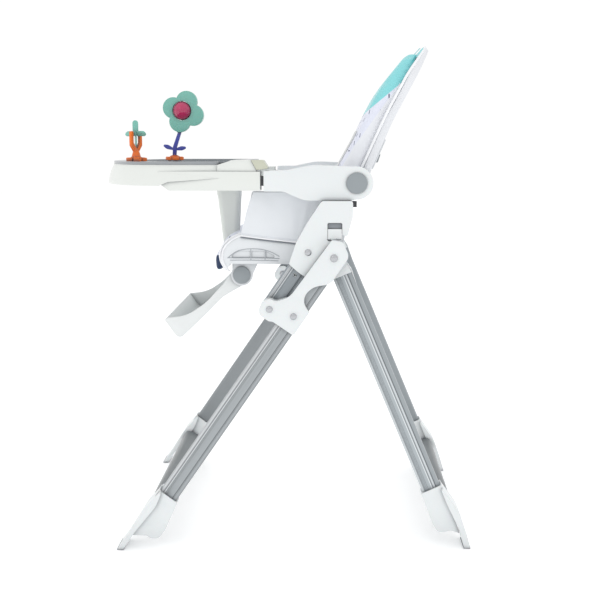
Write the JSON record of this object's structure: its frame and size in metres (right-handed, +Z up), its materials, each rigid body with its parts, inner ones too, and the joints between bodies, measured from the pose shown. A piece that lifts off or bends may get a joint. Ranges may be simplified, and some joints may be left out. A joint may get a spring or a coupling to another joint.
{
  "type": "baby high chair",
  "caption": "Folding high chair: crossed metal legs, white seat on sloped rails, padded reclining back, tray on arms with toys, hinged footrest.",
  "frame": {"origin": "on the floor, midway between the feet's tips and the two sides", "axes": "+Z up, -Y to the front (the tray), +X to the child's left"},
  "size_m": [0.598, 0.8049, 1.062],
  "materials": {
    "white_plastic": "smooth, slightly warm white",
    "leg_metal": "painted grey extrusion, fine length-wise ribs",
    "disc_grey": "satin mid-grey",
    "bare_steel": "plated",
    "spacer_nylon": "dark nylon",
    "sole_rubber": "grey rubber",
    "button_plastic": "satin greenish grey",
    "seat_fabric": null,
    "webbing": "woven band",
    "black_plastic": "satin black",
    "insert_grey": "smooth grey",
    "toy_teal": "smooth teal",
    "toy_violet": "smooth blue violet",
    "toy_orange": "smooth orange",
    "toy_magenta": "smooth magenta"
  },
  "bodies": {
    "frame": {"front_leg_left": "leg_metal", "front_leg_right": "leg_metal", "front_foot_left": "white_plastic", "front_foot_right": "white_plastic", "front_sole_pads": "sole_rubber", "front_cross_bar": "leg_metal", "hinge_bracket_left": "white_plastic", "hinge_bracket_right": "white_plastic", "seat_rail_left": "leg_metal", "seat_rail_right": "leg_metal", "frame_rivets": "bare_steel", "pivot_bolts": "bare_steel", "pivot_spacers": "spacer_nylon"},
    "rear_frame": {"rear_leg_left": "leg_metal", "rear_leg_right": "leg_metal", "rear_leg_cap_left": "white_plastic", "rear_leg_cap_right": "white_plastic", "rear_foot_left": "white_plastic", "rear_foot_right": "white_plastic", "rear_sole_pads": "sole_rubber", "rear_cross_bar": "leg_metal"},
    "seat_carrier": {"slide_housing_left": "white_plastic", "slide_housing_right": "white_plastic", "housing_rivets": "bare_steel", "height_keys": "disc_grey", "seat_shell": "white_plastic", "side_panel_left": "seat_fabric", "side_panel_right": "seat_fabric", "seat_pad": "seat_fabric", "armrest_left": "white_plastic", "armrest_right": "white_plastic", "recline_pins": "disc_grey", "arm_bar_left": "bare_steel", "arm_bar_right": "bare_steel", "footrest_pins": "disc_grey", "harness_buckle": "black_plastic", "lap_straps": "webbing", "strap_anchors": "black_plastic"},
    "height_release_left": {"height_flap_left": "white_plastic"},
    "height_release_right": {"height_flap_right": "white_plastic"},
    "backrest": {"back_shell": "white_plastic", "back_pad": "seat_fabric", "recline_case": "white_plastic", "shoulder_straps": "webbing"},
    "recline_grip": {"recline_handle": "disc_grey"},
    "tray": {"tray_body": "white_plastic", "tray_arm_left": "white_plastic", "tray_arm_right": "white_plastic", "crotch_post": "white_plastic"},
    "tray_release": {"tray_button": "button_plastic"},
    "dish": {"tray_insert": "insert_grey", "flower_base": "toy_orange", "flower_stem": "toy_violet", "flower_head": "toy_teal", "spinner_fork": "toy_orange"},
    "toy_ball": {"flower_ball": "toy_magenta"},
    "toy_spinner": {"spinner": "toy_teal"},
    "foot_rest": {"footrest": "white_plastic"}
  },
  "joints": [
    {"name": "rear_frame_fold", "type": "hinge", "parent": "frame", "child": "rear_frame", "pos_m": [0, 0.107, 0.627], "axis": [1, 0, 0], "range_deg": [-45, 0]},
    {"name": "seat_height", "type": "slide", "parent": "frame", "child": "seat_carrier", "axis": [0, 0.5635, 0.8261], "range_m": [-0.015, 0.06]},
    {"name": "height_release_left_squeeze", "type": "hinge", "parent": "seat_carrier", "child": "height_release_left", "pos_m": [0.2738, 0.1083, 0.684], "axis": [0, -1, 0], "range_deg": [0, 18], "stiffness_Nm_per_rad": 0.05},
    {"name": "height_release_right_squeeze", "type": "hinge", "parent": "seat_carrier", "child": "height_release_right", "pos_m": [-0.2738, 0.1083, 0.684], "axis": [0, 1, 0], "range_deg": [0, 18], "stiffness_Nm_per_rad": 0.05},
    {"name": "recline", "type": "hinge", "parent": "seat_carrier", "child": "backrest", "pos_m": [0, 0.152, 0.776], "axis": [1, 0, 0], "range_deg": [-25, 0]},
    {"name": "recline_squeeze", "type": "slide", "parent": "backrest", "child": "recline_grip", "axis": [0, 0.4019, 0.9157], "range_m": [0, 0.009], "stiffness_N_per_m": 300},
    {"name": "tray_slide", "type": "slide", "parent": "seat_carrier", "child": "tray", "axis": [0, -1, 0], "range_m": [0, 0.08]},
    {"name": "tray_release_press", "type": "slide", "parent": "tray", "child": "tray_release", "axis": [-1, 0, 0], "range_m": [0, 0.004], "stiffness_N_per_m": 400},
    {"name": "dish_lift", "type": "slide", "parent": "tray", "child": "dish", "axis": [0, 0, 1], "range_m": [0, 0.08]},
    {"name": "ball_spin", "type": "hinge", "parent": "dish", "child": "toy_ball", "pos_m": [-0.04, -0.247, 0.931], "axis": [0, 0, 1], "continuous": true},
    {"name": "spinner_spin", "type": "hinge", "parent": "dish", "child": "toy_spinner", "pos_m": [0.152, -0.317, 0.876], "axis": [0.866, -0.5, 0], "continuous": true},
    {"name": "footrest_fold", "type": "hinge", "parent": "seat_carrier", "child": "foot_rest", "pos_m": [0, -0.0893, 0.578], "axis": [1, 0, 0], "range_deg": [-38, 20]}
  ]
}
